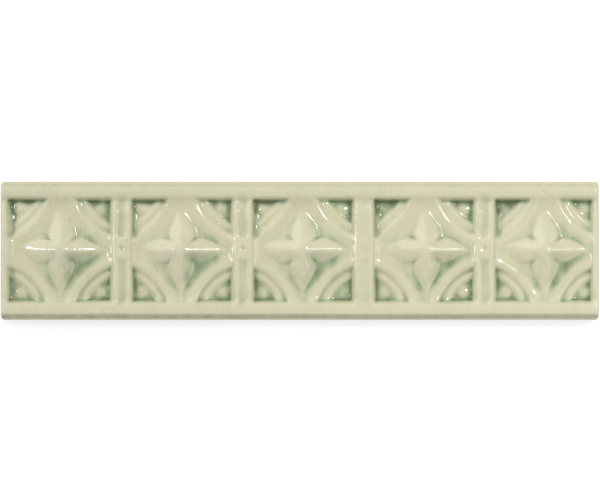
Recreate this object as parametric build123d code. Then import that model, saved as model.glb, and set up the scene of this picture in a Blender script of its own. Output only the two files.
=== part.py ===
"""A relief-moulded glazed ceramic border tile, lying on its back with the glazed face up.

X runs along the length, Y across the width and Z up from the ground that the back rests on.
"""

from build123d import *
import math
import os

os.makedirs("parts", exist_ok=True)

# Outer size
LENGTH = 152.0
WIDTH = 35.1
RAIL_TOP = 9.0
CORNER_R = 0.8
END_R = 0.5

# Ledge along both long edges, stepped down from the rails
LEDGE_W = 0.95
LEDGE_TOP = 7.8
LEDGE_WALL = 0.45
LEDGE_R = 0.35
RAIL_BEVEL_W = 0.4
RAIL_BEVEL_H = 0.25

# The repeat: five panels with stiles between them, trimmed by a narrow stile at each end
PANELS = 5
PITCH = 30.78
REPEAT_SHIFT = 0.8
STILE_W = 5.3
END_STILE_W = 1.7
RECESS_H = 26.2
RECESS_CUT = 0.7
FLOOR = 6.2
WALL_DRAFT = 14.0
RIM_BEVEL = 0.42

# Channel in the face of each inner stile, with a square boss and its dimple at mid-height
CHANNEL_W = 2.7
CHANNEL_DEPTH = 0.55
CHANNEL_END = 14.0
CHANNEL_DRAFT = 40.0
BOSS_H = 5.4
DIMPLE_R = 0.6
DIMPLE_DEPTH = 0.5
DIMPLE_UP = 0.3

# Flower: each petal's sections, as distance from the middle, half width, ridge height, edge height
PETAL = (
    (0.0, 2.70, 10.40, 8.40),
    (2.6, 2.60, 10.05, 8.30),
    (3.6, 3.10, 9.70, 8.15),
    (4.7, 3.30, 9.35, 8.05),
    (6.3, 2.80, 8.88, 7.85),
    (8.4, 1.55, 8.30, 7.65),
    (11.0, 0.45, 7.90, 7.50),
)
PETAL_FOOT = 1.1
TIP_RIDGE_W = 0.7
TIP_RIDGE_TOP = 7.85

# Arc bands in each corner of a panel, struck from a centre outside the corner
ARC_OFFSET = 4.9
OUTER_ARC_R = 16.1
OUTER_ARC_W = 2.3
OUTER_ARC_TOP = 7.9
INNER_ARC_R = 13.2
INNER_ARC_W = 1.4
INNER_ARC_TOP = 7.2
BEVEL = 0.29

# The ground steps up from the corners: a terrace within the inner arcs, a field within the outer ones
TERRACE_TOP = 6.8
FIELD_TOP = 7.15

# Rise at the middle of each side of a panel
SHOULDER_W = 6.4
SHOULDER_NECK_W = 2.2
SHOULDER_REACH = 3.4
SHOULDER_TOP = 8.45
SHOULDER_NECK_TOP = 7.6

# Three-sided pellet in each corner
PELLET_LEG = 2.9
PELLET_GAP = 1.55
PELLET_TOP = 6.95
PELLET_DRAFT = 24.0

# Keying grooves in the back
GROOVES = 4
GROOVE_W = 3.4
GROOVE_DEPTH = 0.7
GROOVE_PITCH = 7.6
GROOVE_STOP = 5.0
GROOVE_DRAFT = 20.0

SINK = 0.5
HALF_L = LENGTH / 2
HALF_W = WIDTH / 2
RECESS_W = PITCH - STILE_W
RAIL_EDGE = HALF_W - LEDGE_W - LEDGE_WALL
BAY = HALF_L - END_STILE_W
CLEAR_HEIGHT = 3 * RAIL_TOP


def slab():
    """The body: its cross profile with the two ledges, met by the rounded plan and the rounded ends."""
    r, d = LEDGE_R, LEDGE_R * (1 - math.sqrt(0.5))
    side = [
        Line((0, 0), (HALF_W, 0)),
        Line((HALF_W, 0), (HALF_W, LEDGE_TOP - r)),
        ThreePointArc((HALF_W, LEDGE_TOP - r), (HALF_W - d, LEDGE_TOP - d), (HALF_W - r, LEDGE_TOP)),
        Line((HALF_W - r, LEDGE_TOP), (HALF_W - LEDGE_W, LEDGE_TOP)),
        Line((HALF_W - LEDGE_W, LEDGE_TOP), (RAIL_EDGE, RAIL_TOP - RAIL_BEVEL_H)),
        Line((RAIL_EDGE, RAIL_TOP - RAIL_BEVEL_H), (RAIL_EDGE - RAIL_BEVEL_W, RAIL_TOP)),
        Line((RAIL_EDGE - RAIL_BEVEL_W, RAIL_TOP), (0, RAIL_TOP)),
        Line((0, RAIL_TOP), (0, 0)),
    ]
    half = make_face(Wire(side))
    profile = half + mirror(half, Plane.YZ)
    block = extrude(Plane.YZ * profile, HALF_L, both=True)
    plan = extrude(RectangleRounded(LENGTH, WIDTH, CORNER_R), RAIL_TOP)
    e, f = END_R, END_R * (1 - math.sqrt(0.5))
    end = [
        Line((0, 0), (HALF_L, 0)),
        Line((HALF_L, 0), (HALF_L, RAIL_TOP - e)),
        ThreePointArc((HALF_L, RAIL_TOP - e), (HALF_L - f, RAIL_TOP - f), (HALF_L - e, RAIL_TOP)),
        Line((HALF_L - e, RAIL_TOP), (0, RAIL_TOP)),
        Line((0, RAIL_TOP), (0, 0)),
    ]
    half = make_face(Wire(end))
    ends = extrude(Plane.XZ * (half + mirror(half, Plane.YZ)), WIDTH, both=True)
    return block & plan & ends


def bays():
    """(middle, width) of each panel's recess. The end ones run to the end stiles."""
    found = []
    for k in range(PANELS):
        middle = (k - (PANELS - 1) / 2) * PITCH + REPEAT_SHIFT
        left = -BAY if k == 0 else middle - RECESS_W / 2
        right = BAY if k == PANELS - 1 else middle + RECESS_W / 2
        found.append(((left + right) / 2, right - left))
    return found


def mouth(width, height, cut):
    """A rectangle at face level with its corners cut off at 45 degrees."""
    x, y = width / 2, height / 2
    right = [(x - cut, -y), (x, -y + cut), (x, y - cut), (x - cut, y)]
    left = [(-px, -py) for px, py in right]
    return Pos(0, 0, RAIL_TOP) * make_face(Polyline(*right, *left, close=True))


def recess(width):
    """The hollow of one panel: drafted walls down to the floor, and a bevel round the rim."""
    hollow = extrude(mouth(width, RECESS_H, RECESS_CUT), FLOOR - RAIL_TOP, taper=WALL_DRAFT)
    wider = mouth(width + 2 * RIM_BEVEL, RECESS_H + 2 * RIM_BEVEL, RECESS_CUT + RIM_BEVEL * (2 - math.sqrt(2)))
    return hollow + extrude(wider, -RIM_BEVEL, taper=45)


def channel():
    """One half of a stile's channel, from the boss to the rail."""
    span = CHANNEL_END - BOSS_H / 2
    mouth = Pos(0, BOSS_H / 2 + span / 2, RAIL_TOP) * Rectangle(CHANNEL_W, span)
    return extrude(mouth, -CHANNEL_DEPTH, taper=CHANNEL_DRAFT)


def petal():
    """One petal, pointing to +Y: a loft of pitched sections, widest a third of the way to its tip."""
    sections = []
    for s, w, ridge, edge in PETAL:
        at = Plane(origin=(0, s, 0), x_dir=(1, 0, 0), z_dir=(0, -1, 0))
        foot, base = w + PETAL_FOOT, FLOOR - SINK
        outline = [(-foot, base), (foot, base), (w, edge), (0, ridge), (-w, edge)]
        sections.append(at * make_face(Polyline(*outline, close=True)))
    return loft(sections, ruled=True)


def tip_ridge():
    """The fine ridge that runs from a petal's tip into the rail."""
    run = RECESS_H / 2 + SINK - PETAL[-2][0]
    at = Plane(origin=(0, PETAL[-2][0], 0), x_dir=(1, 0, 0), z_dir=(0, 1, 0))
    half = TIP_RIDGE_W / 2
    outline = [
        (-half, -(FLOOR - SINK)),
        (half, -(FLOOR - SINK)),
        (half, -(TIP_RIDGE_TOP - half)),
        (0, -TIP_RIDGE_TOP),
        (-half, -(TIP_RIDGE_TOP - half)),
    ]
    return extrude(at * make_face(Polyline(*outline, close=True)), run)


def arc_band(radius, width, top):
    """A band with bevelled shoulders, struck about a centre outside the panel's corner."""
    ring = Circle(radius + width / 2) - Circle(radius - width / 2)
    ring = ring & Pos(-radius, -radius) * Rectangle(2 * radius, 2 * radius)
    centre = (RECESS_W / 2 + ARC_OFFSET, RECESS_H / 2 + ARC_OFFSET, FLOOR - SINK)
    band = extrude(Pos(*centre) * ring, top - FLOOR + SINK)
    rims = band.edges().filter_by(GeomType.CIRCLE).group_by(Axis.Z)[-1]
    return chamfer(rims, BEVEL * width)


def step_up(radius, top):
    """The panel's ground at a higher level, clear of the circle about each corner's arc centre."""
    x, y = RECESS_W / 2 + ARC_OFFSET, RECESS_H / 2 + ARC_OFFSET
    plan = Rectangle(RECESS_W + SINK, RECESS_H + SINK)
    for sx, sy in ((1, 1), (1, -1), (-1, 1), (-1, -1)):
        plan -= Pos(sx * x, sy * y) * Circle(radius)
    return extrude(Pos(0, 0, FLOOR - SINK) * plan, top - FLOOR + SINK)


def shoulder(reach):
    """The rise at the middle of a panel's edge, where two arc ends and a petal's tip run into the rim."""
    foot = FLOOR - SINK
    stations = (
        (reach + SINK, SHOULDER_W, SHOULDER_TOP),
        (reach - SHOULDER_REACH, SHOULDER_NECK_W, SHOULDER_NECK_TOP),
    )
    sections = []
    for x, width, top in stations:
        at = Plane(origin=(x, 0, (foot + top) / 2), x_dir=(0, 1, 0), z_dir=(1, 0, 0))
        sections.append(at * Rectangle(width, top - foot))
    return loft(sections, ruled=True)


def pellet():
    """The small three-sided pellet in a corner, its square corner towards the panel's."""
    x, y = RECESS_W / 2 - PELLET_GAP, RECESS_H / 2 - PELLET_GAP
    plan = make_face(Polyline((x, y), (x - PELLET_LEG, y), (x, y - PELLET_LEG), close=True))
    return extrude(Pos(0, 0, FLOOR - SINK) * plan, PELLET_TOP - FLOOR + SINK, taper=PELLET_DRAFT)


def relief():
    """All the raised ornament of one panel, about the panel's middle."""
    one = petal() + tip_ridge()
    flower = [Rot(0, 0, 90 * k) * one for k in range(4)]
    corner = [
        arc_band(OUTER_ARC_R, OUTER_ARC_W, OUTER_ARC_TOP),
        arc_band(INNER_ARC_R, INNER_ARC_W, INNER_ARC_TOP),
        pellet(),
    ]
    right = corner + [mirror(piece, Plane.XZ) for piece in corner]
    corners = right + [mirror(piece, Plane.YZ) for piece in right]
    rises = [shoulder(RECESS_W / 2), Rot(0, 0, 90) * shoulder(RECESS_H / 2)]
    rises += [Rot(0, 0, 180) * rise for rise in rises]
    steps = [step_up(INNER_ARC_R, TERRACE_TOP), step_up(OUTER_ARC_R, FIELD_TOP)]
    whole = flower[0].fuse(*flower[1:], *corners, *rises, *steps)
    room = Box(RECESS_W + SINK, RECESS_H + SINK, CLEAR_HEIGHT)
    return whole & room


def grooves():
    """The keying grooves, stopped short of both ends."""
    run = LENGTH - 2 * GROOVE_STOP
    cut = []
    for k in range(GROOVES):
        y = (k - (GROOVES - 1) / 2) * GROOVE_PITCH
        slot = SlotOverall(run, GROOVE_W)
        cut.append(Pos(0, y, 0) * extrude(slot, GROOVE_DEPTH, taper=GROOVE_DRAFT))
    return cut


tile = slab()

hollows = [Pos(middle, 0, 0) * recess(width) for middle, width in bays()]
tile = tile.cut(*hollows)

middles = [(k - (PANELS - 1) / 2) * PITCH + REPEAT_SHIFT for k in range(PANELS)]
stiles = [middle + PITCH / 2 for middle in middles[:-1]]
half_channel = channel()
cuts = []
for x in stiles:
    cuts.append(Pos(x, 0, 0) * half_channel)
    cuts.append(Pos(x, 0, 0) * mirror(half_channel, Plane.XZ))
    dimple = Cone(DIMPLE_R / 2, DIMPLE_R, DIMPLE_DEPTH)
    cuts.append(Pos(x, DIMPLE_UP, RAIL_TOP - DIMPLE_DEPTH / 2) * dimple)
tile = tile.cut(*cuts)

ornament = relief()
inside = Box(2 * (BAY + SINK / 2), WIDTH, CLEAR_HEIGHT)
tile = tile.fuse(*[(Pos(x, 0, 0) * ornament) & inside for x in middles])
tile = tile.cut(*grooves())

tile = tile.solids().sort_by(SortBy.VOLUME)[-1]
tile.label = "wall_tile"
export_step(tile, "parts/wall_tile.step")
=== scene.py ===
"""A relief border tile of white clay under a pale green crackle glaze, seen from straight above."""

import math

import bpy
import numpy as np
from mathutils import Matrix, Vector


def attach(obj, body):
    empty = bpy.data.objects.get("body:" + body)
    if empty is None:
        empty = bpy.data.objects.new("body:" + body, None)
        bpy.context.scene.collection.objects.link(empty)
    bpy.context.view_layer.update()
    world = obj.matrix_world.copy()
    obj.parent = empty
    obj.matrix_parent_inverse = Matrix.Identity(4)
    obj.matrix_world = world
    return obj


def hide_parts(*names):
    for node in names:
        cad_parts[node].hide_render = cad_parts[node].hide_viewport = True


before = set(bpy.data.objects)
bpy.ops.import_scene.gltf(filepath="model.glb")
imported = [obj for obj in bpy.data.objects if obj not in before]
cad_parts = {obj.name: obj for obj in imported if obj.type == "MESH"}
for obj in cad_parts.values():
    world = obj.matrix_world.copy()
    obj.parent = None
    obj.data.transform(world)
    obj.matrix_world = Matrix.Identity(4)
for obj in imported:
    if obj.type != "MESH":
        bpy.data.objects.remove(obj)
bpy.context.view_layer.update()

MM = 0.001

# Outer form of the tile. All sizes of the tile are in millimetres
LENGTH, WIDTH, RAIL_TOP, PEAK = 152.0, 35.1, 9.0, 10.4
HALF_L, HALF_W = LENGTH / 2, WIDTH / 2
CORNER_R, EDGE_R, END_R = 0.8, 0.35, 0.7

# Ledge along both long edges, tipped outwards and a little narrower along the lower one
LEDGE_W, LEDGE_TOP, LEDGE_WALL = 0.95, 7.8, 0.55
LEDGE_TIP, LOWER_LEDGE_LESS = 0.25, 0.2

# Crown of each rail: how it falls by the square of the distance from its highest line, and where it fades into the
# stiles
UPPER_CROWN, LOWER_CROWN, CROWN_LINE, CROWN_FADE = 0.11, 0.035, 2.4, (7.5, 4.8)

# The repeat: five sunk panels between stiles. Their walls start RIM_OUT outside the rim and end WALL_IN inside it
PANELS, PITCH, REPEAT_SHIFT = 5, 30.78, 0.8
STILE_W, END_STILE_W = 5.2, 1.65
RECESS_W, RECESS_H = PITCH - STILE_W, 26.2
BAY = HALF_L - END_STILE_W
RIM_CORNER_R, RIM_OUT, WALL_IN = 0.45, 0.75, 1.5
WALL_FALL, RIGHT_LIP_FALL = 4.6, 0.9

# Channel in the face of each inner stile, with a boss halfway and the boss's dimple. The channel and the dimple of
# the third stile are shallow
CHANNEL_W, CHANNEL_DEPTH, CHANNEL_END = 2.9, 0.45, 14.0
BOSS_H, BOSS_UP = 5.4, 0.5
DIMPLE_R, DIMPLE_DEPTH, DIMPLE_UP = 0.6, 0.5, 0.05
CHANNEL_SHARE, DIMPLE_SHARE = (1.0, 1.0, 0.35, 1.0), (1.0, 1.0, 0.3, 1.0)
CHANNEL_RUN, DIMPLE_RUN = 0.15, 0.25

# Heights in a panel: its corner floors, the terraces, the valley by the flower and the broad arcs
FLOOR, TERRACE, VALLEY, ARC_TOP = 6.3, 6.9, 7.45, 7.8

# Rings of a corner, by radius about a centre that lies ARC_OFFSET outside both walls: the two arcs, and where the
# ground steps up to the terrace, climbs to the broad arc and falls from it to the valley
ARC_OFFSET, INNER_ARC_R, OUTER_ARC_R = 4.9, 13.2, 16.0
TERRACE_STEP, ARC_CLIMB, ARC_FALL = (11.6, 12.8), (13.9, 15.2), (18.7, 16.4)
INNER_ARC_H, INNER_ARC_SPREAD = 0.32, 0.65

# Rise of the ground towards the walls, a long slope and a short curve by the wall: share and reach of each. turn
# goes from -1 at a panel's lower right corner to 1 at its upper left one, and tilt the other way by the flower
LONG_RISE, SHORT_RISE = (0.55, 6), (0.45, 1.8)
TURN_REACH, TILT_REACH = 22, 9

# Pellet in each corner: how far in from both walls, and its spread
PELLET_IN_X, PELLET_IN_Y, PELLET_SPREAD = 2.7, 2.6, 1.45

# Moat at the foot of the walls, and the gutter that runs up the left one
MOAT_SPREAD, MOAT_END = 1.7, (14.6, 13.0)
GUTTER_Z, GUTTER_W, GUTTER_FROM, GUTTER_TO = 7.0, 1.7, (2.7, 4.1), (11.0, 8.5)

# A petal by distance from the flower's middle: half width, ridge height, edge height, and the edge height of the
# two deeper cut flanks at the flower's lower right
PETAL_S = (0.0, 1.2, 2.6, 3.6, 4.7, 6.3, 8.4, 10.4, 11.5, 14.0)
PETAL_W = (2.2, 2.2, 2.25, 2.85, 3.1, 2.7, 1.5, 0.65, 0.4, 0.35)
PETAL_RIDGE = (10.25, 10.2, 9.87, 9.59, 9.28, 8.825, 8.23, 7.75, 7.72, 8.3)
PETAL_EDGE = (9.1, 9.1, 8.9, 8.55, 8.3, 8.1, 7.85, 7.6, 7.6, 8.1)
PETAL_LOW_EDGE = (8.4, 8.4, 8.1, 7.65, 7.4, 7.3, 7.35, 7.45, 7.6, 8.1)
PETAL_HIGH_LIFT, PETAL_FOOT_SLOPE, PETAL_FILLET = 0.35, 2.0, 0.6

# How far each flower was set right of its panel's middle when the mould was cut, and all of them above it
FLOWER_DRIFT = (0.07, -0.07, 0.08, 0.70, 0.10)
FLOWER_UP = 0.25
# How much shallower the upper left corner of each panel came out of the mould
CORNER_RAISE = (0.55, 0.5, 0.3, 0.0, 0.05)
# Painted shade on the lower right flanks of each flower, drawn as extra glaze depth: how much for each panel
FLANK_SHADE = (0.24, 0.24, 0.1, 0.07, 0.04)
# How plain each panel's lower right corner came out of the mould, 0 to 1
PLAIN = (0.0, 0.15, 0.85, 0.1, 0.2)

# How deep the glaze lies, 0 to 1: a coat all over, a little more on the ledges, and what low places, sharp hollows,
# broad basins and the corner floors add. The blurs that find hollows and basins are in millimetres. GLAZE_FILL is
# how far glaze levels the hollows
COAT, LEDGE_COAT, LOW_POOL, HOLLOW_POOL, BASIN_POOL, DEEP_POOL = 0.05, 0.06, 0.06, 0.5, 0.08, 0.44
HOLLOW_BLUR, BASIN_BLUR, GLAZE_FILL = 0.9, 2.0, 0.35

# Glaze that ran together in a panel, and painted shade: in the valleys, as a level of glaze and as shares of tilt
# and of its square that paint shade, darkest at the flower's lower right; painted shade at the foot of the broad
# arcs; and in bands along the left and the upper wall, glaze with the painted shade of those walls
VALLEY_GLAZE_AND_SHADE, VALLEY_FROM = (0.13, 0.22, 0.1), (16.4, 18.4)
ARC_FOOT_SHADE, ARC_FOOT_R, BAND_GLAZE_AND_SHADE, BAND_END = 0.2, 14.5, 0.3, (15.6, 13.4)

# Unevenness of the hand-made tile, each as amount, seed and reach: of its outlines along and across, of the depth
# of the glaze, and of its surface. The last is blurred over SURFACE_BLUR, and the depth over POOL_BLUR
OUTLINE_X, OUTLINE_Y = (0.10, 3, 24), (0.07, 5, 30)
POOL_UNEVEN, SURFACE_UNEVEN = (0.18, 17, 3.5), (0.015, 11, 9)
SURFACE_BLUR, POOL_BLUR = 0.2, 0.15

# Keying grooves in the back, the width of their side walls, and mesh lines on the lands between them, as shares
GROOVES, GROOVE_W, GROOVE_DEPTH, GROOVE_PITCH, GROOVE_STOP = 4, 3.4, 0.7, 7.6, 5.0
GROOVE_LIP, LANDS = 0.28, (0.25, 0.5, 0.75)

# The mesh: lines over the face, drawn in over its outer rim; rings down the sides by height and how far in; the
# back, with one line to each four of the face
TOP_NX, TOP_NY, STEP = 609, 141, 0.25
DRAWN_IN, DRAWN_POWER = 1.25, 1.6
SIDE_RINGS = ((5.6, 0.0), (0.35, 0.0), (0.0, 0.3))
BACK_IN, BACK_EVERY, SIDE_GLAZE = 0.8, 4, 0.2

# Colours of the glaze by depth (a depth that also carries painted shade), of the stain in its cracks, and of the
# bare clay
GLAZE_COLOURS = (
    (0.0, "#dcd9bb"), (0.15, "#d6d3b2"), (0.3, "#c5c8a7"), (0.5, "#a9b492"), (0.75, "#859570"), (1.0, "#666c4a"),
)
CRACK_STAIN, CLAY_DARK, CLAY_PALE = "#6f7a58", "#c9bda2", "#e6dcc6"
GLAZE_IOR, GLAZE_ROUGH, CLAY_ROUGH = 1.52, 0.07, 0.88

# The board under the tile, its half side in metres, and how strongly it glows for the camera
BOARD_GREY, BOARD_REACH, BOARD_GLOW = "#a6a6a6", 3.0, 0.72
WHITE = "#ffffff"

# Lamps, all aimed at the tile's middle: name, place and side in metres, watts
LAMPS = (
    ("window_upper_left", (-0.93, 0.81, 0.81), 1.7, 12.6),
    ("lamp_left", (-0.395, 0.05, 0.50), 0.05, 0.17),
    ("strip_left", (-0.50, 0.012, 0.27), 0.05, 0.15),
    ("lamp_right", (0.232, 0.10, 0.50), 0.05, 0.52),
    ("lamp_far_right", (0.335, 0.10, 0.50), 0.10, 0.27),
    ("screen_right", (0.34, -0.02, 0.36), 0.40, 0.68),
)
ROOM_LIGHT = 0.315

# Camera: lens and film width, the spot it looks straight down on, and the width that fills the picture at the
# height FRAMED_Z. FAR is how far it sees, in metres
LENS, FILM_W, AIM_X, AIM_Y, FRAMED_Z, FRAMED_W, FAR = 300, 36, 0.05, 0.19, 8, 152.58, 20


def smooth(low, high, x):
    """0 at low and beyond it, 1 at high and beyond it, and an S-curve between. Low may be the larger."""
    t = np.clip((x - low) / (high - low), 0, 1)
    return t * t * (3 - 2 * t)


def bell(x, width, power=2):
    """1 at zero and falling away on both sides, to 0.37 at width. A higher power gives it a flatter top."""
    return np.exp(-((x / width) ** power))


def soft_max(a, b, k):
    """The larger of two heights, with the corner where they meet filled over a reach of k."""
    h = np.clip(0.5 + 0.5 * (a - b) / k, 0, 1)
    return b * (1 - h) + a * h + k * h * (1 - h)


def wander(x, y, amount, seed, reach):
    """A slow unevenness of about amount either way: seven sine waves about reach long, each in its own direction,
    added up."""
    rng = np.random.default_rng(seed)
    count, total = 7, np.zeros_like(x)
    for angle, phase, stretch in rng.uniform(0, 1, (count, 3)):
        angle, phase, wave = 2 * math.pi * angle, 2 * math.pi * phase, reach * (0.6 + stretch)
        total += np.sin(2 * math.pi * (x * math.cos(angle) + y * math.sin(angle)) / wave + phase)
    return amount * (total / (count / 2))


def blurred(z, sigma):
    """A grid of heights under a bell-shaped mean, sigma in millimetres, along each axis in turn."""
    reach = int(math.ceil(3 * sigma / STEP))
    taps = np.exp(-0.5 * (np.arange(-reach, reach + 1) * STEP / sigma) ** 2)
    taps /= taps.sum()
    for axis in (0, 1):
        wide = np.pad(z, [(reach, reach) if a == axis else (0, 0) for a in (0, 1)], mode="edge")
        n = z.shape[axis]
        z = sum(t * np.take(wide, np.arange(k, k + n), axis) for k, t in enumerate(taps))
    return z


def grid_lines(half, count):
    """Lines from -half to half, evenly spaced but drawn in over the outer DRAWN_IN to carry the rounded edge."""
    x = np.linspace(-half, half, count)
    out = np.clip((half - np.abs(x)) / DRAWN_IN, 0, 1)
    return np.sign(x) * np.where(out < 1, half - DRAWN_IN * out**DRAWN_POWER, np.abs(x))


def along(s, values):
    """A petal's table read at s, as the mean of three readings, which rounds its corners off over about 1 mm."""
    return sum(np.interp(s + step, PETAL_S, values) for step in (-0.4, 0.0, 0.4)) / 3


def petal_height(s, t, deep, high, shift, wide, blunt):
    """A petal's surface at s along it and t across: its ridge, less a fall that grows almost straight to the edge,
    and a steep foot past it. blunt rounds the ridge off, more so at the flower's middle. deep marks the side with
    the low edge, and high the one whose edge is lifted, though never above the ridge. The half width is wide times
    the table's, whose widest place is moved shift nearer to the middle."""
    s, t = np.abs(s), np.abs(t)
    w = wide * along(np.clip(s + shift * smooth(1.5, 4, s) * smooth(11, 8, s), 0, None), PETAL_W)
    ridge = along(s, PETAL_RIDGE)
    edge = np.where(deep, along(s, PETAL_LOW_EDGE), along(s, PETAL_EDGE)) + PETAL_HIGH_LIFT * high
    edge = np.minimum(edge, ridge - 0.05)
    blunt = blunt + 1.3 * smooth(3.4, 0.4, s)
    across = (np.sqrt(t * t + blunt * blunt) - blunt) / (np.sqrt(w * w + blunt * blunt) - blunt)
    fall = np.where(across < 1, 0.68 * across + 0.32 * across**2, across)
    return ridge - (ridge - edge) * fall - np.clip(t - w, 0, None) * PETAL_FOOT_SLOPE


def flower_height(fu, fv):
    """Four petals about the flower's middle, two lying along the tile and two standing across it, with the corners
    between them filled. The flanks at its lower right are cut deepest and those at its upper left least."""
    deep, high = (fu > 0) & (fv < 0), (fu < 0) & (fv > 0)
    lying_wide, lying_blunt = np.where(fv > 0, 0.88, 1.05), np.where(fu > 0, 0.3, 0.6)
    lying = petal_height(fu, fv, deep, high, -0.25, lying_wide, lying_blunt)
    standing = petal_height(fv, fu, deep, high, np.where(fv > 0, 0.6, 0.1), 1.05, 1.0)
    return soft_max(lying, standing, PETAL_FILLET)


def from_walls(u, v):
    """How far a spot of a panel lies in from the nearer end wall and from the nearer long wall."""
    return RECESS_W / 2 - np.abs(u), RECESS_H / 2 - np.abs(v)


def corner_ground(u, v, ring, raised):
    """The ground of a panel's corners: the floor, raised at the upper left and a little lower at the lower right,
    less a moat at the foot of the walls, and the step up to the terrace."""
    near = np.minimum(*from_walls(u, v))
    turn = np.clip((v - u) / TURN_REACH, -1, 1)
    moat = (0.05 + 0.12 * (v > 0) + 0.53 * np.clip(turn, 0, 1)) * bell(near, MOAT_SPREAD)
    moat = moat * smooth(*MOAT_END, ring)
    ground = FLOOR + np.where(turn > 0, raised, 0.1) * turn - moat + 0.08 * smooth(2, 6, -v)
    return ground + (TERRACE - FLOOR - 0.6 * np.clip(raised * turn, 0, None)) * smooth(*TERRACE_STEP, ring)


def glaze_run_and_shade(u, v, fu, fv, ring, tilt, rise, clear, flank_shade):
    """How dark the glaze is made in a panel: glaze run into the valleys, with painted shade there that grows towards
    the flower's lower right; painted shade on the flower's own flanks there and at the foot of the arcs there; and
    bands at the foot of the left and upper walls, glaze with painted shade of those walls. clear is how far the
    ground stands above the flower."""
    du, dv = from_walls(u, v)
    level, slope, bend = VALLEY_GLAZE_AND_SHADE
    # Glaze in the valleys, with painted shade that grows by tilt towards the flower's lower right
    valleys = (level + slope * tilt + bend * tilt**2) * smooth(*VALLEY_FROM, ring) * smooth(-0.3, 0.4, clear)
    valleys = valleys * (0.25 + 0.75 * smooth(0.35, 0.12, rise))
    on_flower = smooth(-0.1, 0.3, -clear) * smooth(10, 7, np.hypot(fu, fv))
    # Painted shade on the flower's own lower right flanks, added as extra glaze depth
    flanks = flank_shade * smooth(-0.1, 1.2, fu) * smooth(-0.1, 1.2, -fv) * on_flower
    # Painted shade on the corner side of the broad arcs at the lower right, where that slope faces away from the
    # light
    arc_foot = ARC_FOOT_SHADE * smooth(0.2, 0.9, tilt) * bell(ring - ARC_FOOT_R, 0.5)
    # Bands at the foot of the left and upper walls: glaze at the foot with painted shade of those walls, strongest
    # at the upper left
    left_band = bell(du - 0.6, 0.7) * (u < 0) * smooth(12.0, 8.5, -v)
    top_band = bell(dv - 0.5, 0.6) * (v > 0) * np.where(u < 0, 1.0, 0.4)
    bands = BAND_GLAZE_AND_SHADE * np.maximum(left_band, top_band) * smooth(*BAND_END, ring)
    return valleys + flanks + arc_foot + bands


def panel_relief(u, v, left_wall, drift, raised, flank_shade, plain):
    """(height, run): all the ornament of one panel about its middle, and how much glaze ran into it, with painted
    shade added. The ground steps up from the corners, by rings struck about a centre outside each corner: low corner
    floor with a pellet, soft inner arc, broad outer arc, shallow valley by the flower. Towards the middle of each
    side all but the corner floor rises to meet the rim, the lower left and right quarters least. A gutter runs up
    the left wall, and the flower stands on it all with its foot filled."""
    fu, fv = u - drift, v - FLOWER_UP
    flower = flower_height(fu, fv)
    du, dv = from_walls(u, v)
    near = np.minimum(du, dv)
    ring = np.hypot(du + ARC_OFFSET, dv + ARC_OFFSET)
    tilt = np.clip((fu - fv) / TILT_REACH, -1, 1)
    kept = 1 - plain * ((u > 0) & (v < 0))

    ground = corner_ground(u, v, ring, raised)
    calm = 1 - 0.7 * smooth(0.5, 3, -v) * smooth(0, 3, np.abs(u) + v)
    long_rise = LONG_RISE[0] * np.clip(1 - near / LONG_RISE[1], 0, 1)
    rise = long_rise + SHORT_RISE[0] * calm * np.clip(1 - near / SHORT_RISE[1], 0, 1) ** 2
    lower = smooth(0.5, 3, np.abs(u)) * smooth(0.5, 3, -v) * np.where(u < 0, 1.0, 0.6)
    valley = VALLEY - 0.08 * tilt + 0.31 * lower + (1.0 + 0.08 * tilt - 0.25 * lower) * rise
    crest = ARC_TOP + 0.75 * rise - 0.15 * np.clip(np.abs(ring - OUTER_ARC_R), 0, 1) ** 2
    outer = ground + (crest - ground) * smooth(*ARC_CLIMB, ring)
    outer = np.where(ring > OUTER_ARC_R, valley + (crest - valley) * smooth(*ARC_FALL, ring), outer)
    inner = INNER_ARC_H * kept * bell(ring - INNER_ARC_R, INNER_ARC_SPREAD)
    proud = kept * np.where((u < 0) & (v > 0), 0.15 + 0.7 * raised, np.where(u < 0, 0.38, 0.45))
    pellet = proud * bell(np.hypot(du - PELLET_IN_X, dv - PELLET_IN_Y), PELLET_SPREAD, 3)
    z = outer + inner + pellet

    to_wall = np.clip(u - left_wall, 0, None)
    gutter = GUTTER_Z - 0.09 * np.clip(v - 4, -1, 5) + 0.2 * np.clip(1.9 - to_wall, 0, None) ** 2
    z = z + (gutter - z) * (bell(to_wall, GUTTER_W, 6) * smooth(*GUTTER_FROM, v) * smooth(*GUTTER_TO, v))
    return soft_max(z, flower, 0.4), glaze_run_and_shade(u, v, fu, fv, ring, tilt, rise, z - flower, flank_shade)


def rail_height(y):
    """The ledges and the crowned rails, by distance in from the long sides."""
    inward = HALF_W - np.abs(y)
    ledge = LEDGE_TOP - LEDGE_TIP * np.clip(1 - inward / LEDGE_W, 0, 1)
    bow = np.where(y > 0, UPPER_CROWN, LOWER_CROWN) * np.clip(inward - CROWN_LINE, -1, CROWN_LINE) ** 2
    crown = RAIL_TOP - bow * smooth(*CROWN_FADE, inward)
    ledge_in = np.where(y > 0, LEDGE_W, LEDGE_W - LOWER_LEDGE_LESS)
    return ledge + (crown - ledge) * smooth(ledge_in, ledge_in + LEDGE_WALL, inward)


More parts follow.
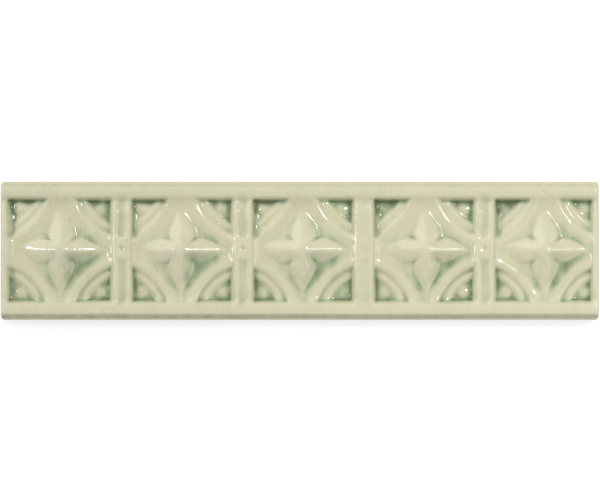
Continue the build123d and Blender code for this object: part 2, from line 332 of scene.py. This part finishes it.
def sink_channel(z, run_and_shade, px, py, k):
    """(height, run) with the channel of stile k pressed in: a flat hollow from rail to rail but for the boss, and a
    bell-shaped dimple in the boss. A little glaze runs into both."""
    stile, up = (k - (PANELS - 2) / 2) * PITCH + REPEAT_SHIFT, py - BOSS_UP
    depth = CHANNEL_DEPTH * CHANNEL_SHARE[k]
    across = smooth(CHANNEL_W / 2 + 0.25, CHANNEL_W / 2 - 0.75, np.abs(px - stile))
    length = smooth(CHANNEL_END + 1.0, CHANNEL_END - 1.5, np.abs(py))
    length = smooth(BOSS_H / 2 - 0.4, BOSS_H / 2 + 0.6, np.abs(up)) * length
    dimple = DIMPLE_SHARE[k] * bell(np.hypot(px - stile, up - DIMPLE_UP), DIMPLE_R)
    run_and_shade = np.maximum(run_and_shade, CHANNEL_RUN * across * length * depth / CHANNEL_DEPTH)
    run_and_shade = np.maximum(run_and_shade, DIMPLE_RUN * dimple)
    return z - depth * across * length - DIMPLE_DEPTH * dimple, run_and_shade


def sink_panel(z, run_and_shade, px, py, k):
    """(height, run) with panel k pressed in: a steep wall within a rim with rounded corners, softer and from a lower
    lip at the right, and the relief where it stands above the foot of the wall, with the corner there filled."""
    middle = (k - (PANELS - 1) / 2) * PITCH + REPEAT_SHIFT
    left = -BAY if k == 0 else middle - RECESS_W / 2
    right = BAY if k == PANELS - 1 else middle + RECESS_W / 2
    qx = np.abs(px - (left + right) / 2) - (right - left) / 2 + RIM_CORNER_R
    qy = np.abs(py) - RECESS_H / 2 + RIM_CORNER_R
    outside = np.hypot(np.clip(qx, 0, None), np.clip(qy, 0, None)) + np.minimum(np.maximum(qx, qy), 0)
    depth_in = RIM_CORNER_R - outside
    right_side = smooth(0.6, 1.0, (px - middle) / RECESS_W * 2)
    wall = z - RIGHT_LIP_FALL * right_side * smooth(-RIM_OUT, 0.3, depth_in)
    wall = wall - WALL_FALL * smooth(-0.5 + 0.5 * right_side, 1.4 - 0.1 * right_side, depth_in)
    foot = 0.25 + 0.5 * smooth(-0.2, 0.8, depth_in)
    traits = FLOWER_DRIFT[k], CORNER_RAISE[k], FLANK_SHADE[k], PLAIN[k]
    relief, panel_run_and_shade = panel_relief(px - middle, py, left - middle, *traits)
    run_and_shade = np.where(depth_in > 0, panel_run_and_shade, run_and_shade)
    sunk = np.where(depth_in < WALL_IN, soft_max(wall, relief, foot), relief)
    return np.where(depth_in > -RIM_OUT, sunk, z), run_and_shade


def clay_height(x, y):
    """(height, run): the pressed clay before it is glazed, and how much glaze ran together on it, with painted shade
    added in the panels. Rails first, then the channels and panels, all on a plan whose outlines wander a little."""
    px, py = x + wander(x, y, *OUTLINE_X), y + wander(x, y, *OUTLINE_Y)
    z, run_and_shade = rail_height(py), np.zeros_like(x)
    for k in range(PANELS - 1):
        z, run_and_shade = sink_channel(z, run_and_shade, px, py, k)
    for k in range(PANELS):
        z, run_and_shade = sink_panel(z, run_and_shade, px, py, k)
    return z, run_and_shade


def glazed(x, y):
    """(surface, pool): the clay's height with glaze run into its hollows and its edges rounded, and how deep the
    glaze lies, 0 to 1, with the panels' painted shade added. A hollow is where the clay lies under its own blur, a
    basin where it lies under a wider one. A line of glaze with painted shade also stands at the foot of the rails,
    on the ledges, strongest along the lower rail, where the rail's wall is in shade."""
    clay, run_and_shade = clay_height(x, y)
    inward = HALF_W - np.abs(y)
    filled = np.where(inward < LEDGE_W + LEDGE_WALL + 0.3, RAIL_TOP, clay)
    hollow = np.clip(blurred(filled, HOLLOW_BLUR) - filled, 0, None)
    basin = np.clip(blurred(filled, BASIN_BLUR) - filled, 0, 0.8) * smooth(6.7, 7.1, filled)
    low = smooth(0.1, 0.55, RAIL_TOP - filled)
    deep = smooth(6.9, 6.1, filled)
    # Glaze at the foot of the rails, on the ledges, with painted shade: over twice as strong along the lower rail,
    # whose wall is in shade
    line = np.where(y > 0, 0.16, 0.36) * bell(inward - np.where(y > 0, 1.0, 0.75), 0.3)
    pool_and_shade = COAT + LOW_POOL * low + HOLLOW_POOL * hollow**1.5 + BASIN_POOL * basin + DEEP_POOL * deep
    pool_and_shade = pool_and_shade + run_and_shade + line + LEDGE_COAT * (inward < LEDGE_W)
    pool_and_shade = np.clip(pool_and_shade * (1 + wander(x, y, *POOL_UNEVEN)), 0, 1)
    surface = clay + GLAZE_FILL * np.clip(hollow, 0, 1)
    surface = blurred(surface, SURFACE_BLUR) + wander(x, y, *SURFACE_UNEVEN)
    for inside, radius in ((HALF_L - np.abs(x), END_R), (HALF_W - np.abs(y), EDGE_R)):
        edge = np.clip(inside, 0, radius)
        surface -= radius - np.sqrt(radius**2 - (radius - edge) ** 2)
    surface = np.minimum(surface, PEAK - 0.01)
    return surface, blurred(pool_and_shade, POOL_BLUR)


def rounded_plan(x, y):
    """The grid with its corners drawn in: a spot of a corner square, by its two distances from the square's inner
    corner, moves straight towards that corner until it is as far off as the larger of the two."""
    cx, cy = np.abs(x) - (HALF_L - CORNER_R), np.abs(y) - (HALF_W - CORNER_R)
    corner = (cx > 0) & (cy > 0)
    pull = np.where(corner, np.maximum(cx, cy) / np.maximum(np.hypot(cx, cy), 1e-9), 1)
    x = np.where(corner, np.sign(x) * (HALF_L - CORNER_R + cx * pull), x)
    y = np.where(corner, np.sign(y) * (HALF_W - CORNER_R + cy * pull), y)
    return x, y


def back_grid(face):
    """The back: every fourth line of the face each way, drawn in by BACK_IN and laid on the ground, with a dip
    along each keying groove. But for the ends of the tile, its long lines lie on the grooves' lips and the lands."""
    drawn_in = (HALF_L - BACK_IN) / HALF_L, (HALF_W - BACK_IN) / HALF_W, 0
    back = face[::BACK_EVERY, ::BACK_EVERY] * drawn_in
    bx, by = back[..., 0], back[..., 1]
    centres = (np.arange(GROOVES) - (GROOVES - 1) / 2) * GROOVE_PITCH
    lips = np.array((-GROOVE_W / 2, -GROOVE_W / 2 + GROOVE_LIP, GROOVE_W / 2 - GROOVE_LIP, GROOVE_W / 2))
    lands = np.array(LANDS) * (GROOVE_PITCH - GROOVE_W) + GROOVE_W / 2
    inner = np.concatenate([c + np.concatenate([lips, lands]) for c in centres])[: -len(LANDS)]
    spare = back.shape[1] - len(inner)
    low = np.linspace(by[10, 0], inner[0], spare // 2 + 1)[:-1]
    high = np.linspace(inner[-1], by[10, -1], spare - spare // 2 + 1)[1:]
    blend = smooth(HALF_L - 1.5, HALF_L - 4.0, np.abs(bx))
    by = by * (1 - blend) + np.concatenate([low, inner, high])[None, :] * blend
    off = np.abs(by[..., None] - centres)
    past = np.clip(np.abs(bx) - (HALF_L - GROOVE_STOP - GROOVE_W / 2), 0, None)
    inside = (GROOVE_W / 2 - np.hypot(off, past[..., None])).max(-1)
    return np.stack([bx, by, GROOVE_DEPTH * smooth(0.02, GROOVE_LIP - 0.02, inside)], -1)


def loop_round(nx, ny):
    """The numbers of a grid's outer points, once round it against the clock from above."""
    i, j = np.arange(nx), np.arange(ny)
    return np.concatenate([i[:-1] * ny, (nx - 1) * ny + j[:-1], i[:0:-1] * ny + ny - 1, j[:0:-1]])


def squares(first, nx, ny, up):
    """Faces of a grid whose points are numbered from first, turned up or down."""
    i, j = np.meshgrid(np.arange(nx - 1), np.arange(ny - 1), indexing="ij")
    a = (first + i * ny + j).ravel()
    quad = np.stack([a, a + ny, a + ny + 1, a + 1], 1)
    return quad if up else quad[:, ::-1]


def stitches(fine, coarse):
    """Triangles from a loop of points to one with a quarter as many."""
    f0, f1, f2, f3 = fine.reshape(-1, BACK_EVERY).T
    f4, c0, c1 = np.roll(f0, -1), coarse, np.roll(coarse, -1)
    tris = [(f0, c0, f1), (f1, c0, f2), (f2, c0, c1), (f2, c1, f3), (f3, c1, f4)]
    return np.concatenate([np.stack(t, 1) for t in tris])


def make_tile():
    """One closed surface: the glazed face as a grid of heights, sides carried down from its edge in rings, and the
    back as a coarser grid that is stitched to the lowest ring. Each point keeps the depth of its glaze, with painted
    shade added in the panels."""
    x, y = np.meshgrid(grid_lines(HALF_L, TOP_NX), grid_lines(HALF_W, TOP_NY), indexing="ij")
    z, pool_and_shade = glazed(x, y)
    face = np.stack([*rounded_plan(x, y), z], -1)
    round_top = loop_round(TOP_NX, TOP_NY)
    rim = face.reshape(-1, 3)[round_top]
    rings = []
    for height, inset in SIDE_RINGS:
        ring = rim * ((HALF_L - inset) / HALF_L, (HALF_W - inset) / HALF_W, 1)
        ring[:, 2] = height
        rings.append(ring)
    back = back_grid(face)
    bnx, bny = back.shape[:2]

    parts = [face.reshape(-1, 3), *rings, back.reshape(-1, 3)]
    starts = np.cumsum([0] + [len(p) for p in parts[:-1]])
    loops = [round_top] + [start + np.arange(len(rim)) for start in starts[1:-1]]
    quads = [squares(0, TOP_NX, TOP_NY, True), squares(starts[-1], bnx, bny, False)]
    for a, b in zip(loops[:-1], loops[1:]):
        quads.append(np.stack([a, b, np.roll(b, -1), np.roll(a, -1)], 1))
    quads, tris = np.concatenate(quads), stitches(loops[-1], starts[-1] + loop_round(bnx, bny))

    points = np.concatenate(parts) * MM
    corners = np.concatenate([quads.ravel(), tris.ravel()])
    sizes = np.concatenate([np.full(len(quads), 4), np.full(len(tris), 3)])
    mesh = bpy.data.meshes.new("glazed_border_tile")
    mesh.vertices.add(len(points))
    mesh.vertices.foreach_set("co", points.ravel())
    mesh.loops.add(len(corners))
    mesh.loops.foreach_set("vertex_index", corners.astype(np.int32))
    mesh.polygons.add(len(sizes))
    mesh.polygons.foreach_set("loop_start", np.concatenate([[0], np.cumsum(sizes)[:-1]]).astype(np.int32))
    mesh.polygons.foreach_set("use_smooth", np.ones(len(sizes), bool))
    mesh.update(calc_edges=True)
    mesh.validate()
    depth = mesh.attributes.new("glaze_depth_and_shade", "FLOAT", "POINT")
    values = np.full(len(points), SIDE_GLAZE, np.float32)
    values[: pool_and_shade.size] = pool_and_shade.ravel()
    depth.data.foreach_set("value", values)
    tile = bpy.data.objects.new("glazed_border_tile", mesh)
    bpy.context.scene.collection.objects.link(tile)
    return tile


def linear(code):
    """An sRGB hex colour as linear red, green, blue and alpha."""
    channels = [int(code[k : k + 2], 16) / 255 for k in (1, 3, 5)]
    return [c / 12.92 if c <= 0.04045 else ((c + 0.055) / 1.055) ** 2.4 for c in channels] + [1.0]


def add(tree, kind, inputs=None, **settings):
    """Adds a node with its settings. inputs names sockets, each with a value or with the output that feeds it."""
    node = tree.nodes.new(kind)
    for name, value in settings.items():
        setattr(node, name, value)
    for name, value in (inputs or {}).items():
        if isinstance(value, bpy.types.NodeSocket):
            tree.links.new(value, node.inputs[name])
        else:
            node.inputs[name].default_value = value
    return node


def new_material(name):
    """(material, tree): a material with an empty node tree."""
    mat = bpy.data.materials.new(name)
    mat.use_nodes = True
    mat.node_tree.nodes.clear()
    return mat, mat.node_tree


def crackle_glaze():
    """Crackle glaze over white earthenware, pressed in a mould, dipped and fired: thin and cream on the high
    edges, green where it ran deep, darker where painted shade is added to that depth, with fine cracks that hold
    stain, a wet gloss, and bare clay at the back."""
    mat, tree = new_material("crackle_glaze_on_white_earthenware")
    place = add(tree, "ShaderNodeTexCoord").outputs["Object"]
    # The depth attribute holds the glaze depth with painted shade added in the panels; the ramp darkens both alike
    depth = add(tree, "ShaderNodeAttribute", attribute_name="glaze_depth_and_shade").outputs["Fac"]

    # Clouding of the glaze, in patches about 5 mm wide
    cloud = add(tree, "ShaderNodeTexNoise", {"Vector": place, "Scale": 1 / (5 * MM), "Detail": 4.0})
    cloud = add(tree, "ShaderNodeMapRange", {
        "Value": cloud.outputs["Fac"], "From Min": 0.3, "From Max": 0.7, "To Min": -0.05, "To Max": 0.05,
    })
    shade = add(tree, "ShaderNodeMath", {0: depth, 1: cloud.outputs["Result"]}, operation="ADD")
    ramp = add(tree, "ShaderNodeValToRGB", {"Fac": shade.outputs["Value"]})
    points = ramp.color_ramp.elements
    while len(points) < len(GLAZE_COLOURS):
        points.new(0.5)
    for point, (at, code) in zip(points, GLAZE_COLOURS):
        point.position, point.color = at, linear(code)

    # Cracks, where the glaze shrank more than the clay: the borders of two sets of long uneven cells, one set
    # leaning and 1.5 mm wide, the other upright and 2.1 mm wide, bent by up to 0.5 mm over 3 mm and drawn about
    # 0.1 mm wide so that they show
    bend = add(tree, "ShaderNodeTexNoise", {"Vector": place, "Scale": 1 / (3 * MM), "Detail": 2.0})
    bend = add(tree, "ShaderNodeVectorMath", {0: bend.outputs["Color"], 1: (0.5, 0.5, 0.5)}, operation="SUBTRACT")
    bend = add(tree, "ShaderNodeVectorMath", {0: bend.outputs["Vector"], "Scale": 0.9 * MM}, operation="SCALE")
    bent = add(tree, "ShaderNodeVectorMath", {0: place, 1: bend.outputs["Vector"]}, operation="ADD")
    crack = 0.0
    for turn, size in ((-0.95, 1.5), (0.12, 2.1)):
        lean = add(tree, "ShaderNodeMapping", {"Vector": bent.outputs["Vector"], "Rotation": (0.0, 0.0, turn)})
        long = add(tree, "ShaderNodeMapping", {"Vector": lean.outputs["Vector"], "Scale": (1.0, 0.2, 0.5)})
        cells = add(tree, "ShaderNodeTexVoronoi", {
            "Vector": long.outputs["Vector"], "Scale": 1 / (size * MM),
        }, feature="DISTANCE_TO_EDGE")
        line = add(tree, "ShaderNodeMapRange", {
            "Value": cells.outputs["Distance"], "From Min": 0.0, "From Max": 0.05, "To Min": 1.0, "To Max": 0.0,
        }, interpolation_type="SMOOTHSTEP")
        crack = add(tree, "ShaderNodeMath", {0: line.outputs["Result"], 1: crack}, operation="MAXIMUM").outputs[0]

    # The cracks come and go over about 6 mm, and hold more stain where the glaze is deep or painted shade is added
    # to its depth
    patch = add(tree, "ShaderNodeTexNoise", {"Vector": place, "Scale": 1 / (6 * MM), "Detail": 1.0})
    patch = add(tree, "ShaderNodeMapRange", {"Value": patch.outputs["Fac"], "From Min": 0.32, "From Max": 0.62})
    crack = add(tree, "ShaderNodeMath", {0: crack, 1: patch.outputs["Result"]}, operation="MULTIPLY").outputs[0]
    stain = add(tree, "ShaderNodeMapRange", {
        "Value": depth, "From Min": 0.2, "From Max": 0.6, "To Min": 0.1, "To Max": 0.6,
    })
    crack = add(tree, "ShaderNodeMath", {0: crack, 1: stain.outputs["Result"]}, operation="MULTIPLY")
    stained = add(tree, "ShaderNodeMix", {
        0: crack.outputs["Value"], 6: ramp.outputs["Color"], 7: linear(CRACK_STAIN),
    }, data_type="RGBA")

    # The glaze stops in a wavy line on the sides, 3 to 4 mm above the ground; below it the clay is bare
    height = add(tree, "ShaderNodeSeparateXYZ", {"Vector": place}).outputs["Z"]
    drip = add(tree, "ShaderNodeTexNoise", {"Vector": place, "Scale": 1 / (9 * MM), "Detail": 2.0})
    drip = add(tree, "ShaderNodeMath", {0: drip.outputs["Fac"], 1: 3.0 * MM, 2: height}, operation="MULTIPLY_ADD")
    bare = add(tree, "ShaderNodeMapRange", {
        "Value": drip.outputs["Value"], "From Min": 5.1 * MM, "From Max": 5.3 * MM, "To Min": 1.0, "To Max": 0.0,
    })
    grit = add(tree, "ShaderNodeTexNoise", {"Vector": place, "Scale": 1 / (0.8 * MM), "Detail": 5.0})
    clay = add(tree, "ShaderNodeMix", {
        0: grit.outputs["Fac"], 6: linear(CLAY_DARK), 7: linear(CLAY_PALE),
    }, data_type="RGBA")
    colour = add(tree, "ShaderNodeMix", {
        0: bare.outputs["Result"], 6: stained.outputs[2], 7: clay.outputs[2],
    }, data_type="RGBA")
    rough = add(tree, "ShaderNodeMapRange", {
        "Value": bare.outputs["Result"], "To Min": GLAZE_ROUGH, "To Max": CLAY_ROUGH,
    })

    # Glaze is never quite flat: it has waves about 4 mm long and up to 0.03 mm high, drawn at half strength. Bare
    # clay has grit in their place, drawn 0.8 mm wide so that it shows
    waves = add(tree, "ShaderNodeTexNoise", {"Vector": place, "Scale": 1 / (4 * MM), "Detail": 2.0})
    tall = add(tree, "ShaderNodeMix", {
        0: bare.outputs["Result"], 2: waves.outputs["Fac"], 3: grit.outputs["Fac"],
    }, data_type="FLOAT")
    bump = add(tree, "ShaderNodeBump", {"Height": tall.outputs[0], "Strength": 0.5, "Distance": 0.03 * MM})
    shader = add(tree, "ShaderNodeBsdfPrincipled", {
        "Base Color": colour.outputs[2], "Roughness": rough.outputs["Result"],
        "Normal": bump.outputs["Normal"], "IOR": GLAZE_IOR,
    })
    add(tree, "ShaderNodeOutputMaterial", {"Surface": shader.outputs["BSDF"]})
    return mat


def white_floor():
    """A matt white painted board. It gives the camera a little of its own light, so that it reads as white paper
    and still takes the tile's shadow."""
    r = BOARD_REACH
    mesh = bpy.data.meshes.new("studio_floor")
    mesh.from_pydata([(-r, -r, 0), (r, -r, 0), (r, r, 0), (-r, r, 0)], [], [(0, 1, 2, 3)])
    floor = bpy.data.objects.new("studio_floor", mesh)
    bpy.context.scene.collection.objects.link(floor)
    mat, tree = new_material("matt_white_board")
    path = add(tree, "ShaderNodeLightPath")
    seen = path.outputs["Is Camera Ray"]
    for ray in ("Is Glossy Ray", "Is Transmission Ray"):
        seen = add(tree, "ShaderNodeMath", {0: seen, 1: path.outputs[ray]}, operation="MAXIMUM").outputs["Value"]
    glow = add(tree, "ShaderNodeMath", {0: seen, 1: BOARD_GLOW}, operation="MULTIPLY")
    board = add(tree, "ShaderNodeBsdfDiffuse", {"Color": linear(BOARD_GREY)})
    light = add(tree, "ShaderNodeEmission", {"Color": linear(WHITE), "Strength": glow.outputs["Value"]})
    both = add(tree, "ShaderNodeAddShader", {0: board.outputs["BSDF"], 1: light.outputs["Emission"]})
    add(tree, "ShaderNodeOutputMaterial", {"Surface": both.outputs["Shader"]})
    mesh.materials.append(mat)
    return floor


def softbox(name, place, size, watts):
    """A square studio lamp of a side given in metres, aimed at the middle of the tile."""
    data = bpy.data.lights.new(name, "AREA")
    data.shape, data.size, data.energy = "SQUARE", size, watts
    lamp = bpy.data.objects.new(name, data)
    lamp.location = place
    lamp.rotation_euler = (-Vector(place)).to_track_quat("-Z", "Y").to_euler()
    lamp.visible_camera = False
    bpy.context.scene.collection.objects.link(lamp)


tile = make_tile()
tile.data.materials.append(crackle_glaze())
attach(tile, "root")
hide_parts("wall_tile")

floor = white_floor()
for lamp in LAMPS:
    softbox(*lamp)

world = bpy.data.worlds.new("studio_room")
bpy.context.scene.world = world
world.use_nodes = True
world.node_tree.nodes["Background"].inputs["Color"].default_value = linear(WHITE)
world.node_tree.nodes["Background"].inputs["Strength"].default_value = ROOM_LIGHT

lens = bpy.data.cameras.new("camera")
lens.lens, lens.sensor_width, lens.clip_end = LENS, FILM_W, FAR
camera = bpy.data.objects.new("camera", lens)
camera.location = (AIM_X * MM, AIM_Y * MM, FRAMED_Z * MM + FRAMED_W * MM / FILM_W * LENS)
bpy.context.scene.collection.objects.link(camera)
bpy.context.scene.camera = camera
bpy.context.scene.view_settings.view_transform = "Standard"
